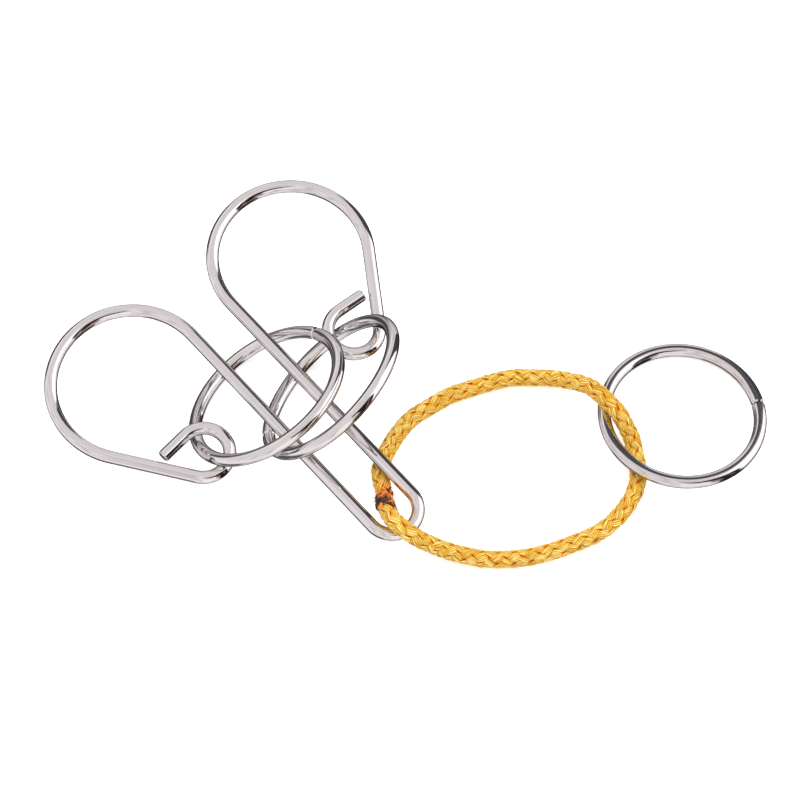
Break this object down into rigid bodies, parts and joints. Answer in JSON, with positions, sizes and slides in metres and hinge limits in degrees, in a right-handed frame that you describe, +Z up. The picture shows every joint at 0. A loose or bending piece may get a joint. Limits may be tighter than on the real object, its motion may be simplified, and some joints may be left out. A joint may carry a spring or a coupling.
{
  "type": "ring disentanglement puzzle",
  "caption": "Bent-wire puzzle frame with looped arms and captive rings, joined by a braided cord loop to a loose pull ring.",
  "frame": {"origin": "centre of the footprint of the metal pieces, on the surface that the puzzle lies on", "axes": "+X is the long way, from the wire frame to the pull ring, and +Z is up from the table"},
  "size_m": [0.1447, 0.0817, 0.0277],
  "materials": {
    "plated_frame": "polished nickel plate on steel wire",
    "plated_rings": "polished nickel plate on steel wire",
    "plated_pull_ring": "polished nickel plate on steel wire, a little darker",
    "braided_cord": "plaited golden yellow cord",
    "melted_cord": "burnt, melted cord ends"
  },
  "bodies": {
    "frame": {"wire_frame": "plated_frame"},
    "left_ring": {"ring_left": "plated_rings"},
    "right_ring": {"ring_right": "plated_rings"},
    "cord": {"cord_loop": "braided_cord", "cord_splice": "melted_cord"},
    "pull_ring": {"pull_ring": "plated_pull_ring"}
  },
  "joints": [
    {"name": "left_ring_swing", "type": "hinge", "parent": "frame", "child": "left_ring", "pos_m": [-0.0403, -0.0212, 0.0089], "axis": [-0.1194, -0.7265, -0.6767], "range_deg": [0, 30]},
    {"name": "right_ring_spin", "type": "hinge", "parent": "frame", "child": "right_ring", "pos_m": [-0.0153, -0.0091, 0.01385], "axis": [-0.6617, 0.3653, 0.6547], "continuous": true},
    {"name": "cord_swing", "type": "hinge", "parent": "frame", "child": "cord", "pos_m": [-0.005, -0.028, 0.0054], "axis": [0.0993, -0.8939, 0.437], "range_deg": [0, 55]},
    {"name": "pull_ring_swing", "type": "hinge", "parent": "cord", "child": "pull_ring", "pos_m": [0.04, -0.013, 0.0032], "axis": [0, -0.9968, 0.0797], "range_deg": [0, 140]}
  ]
}
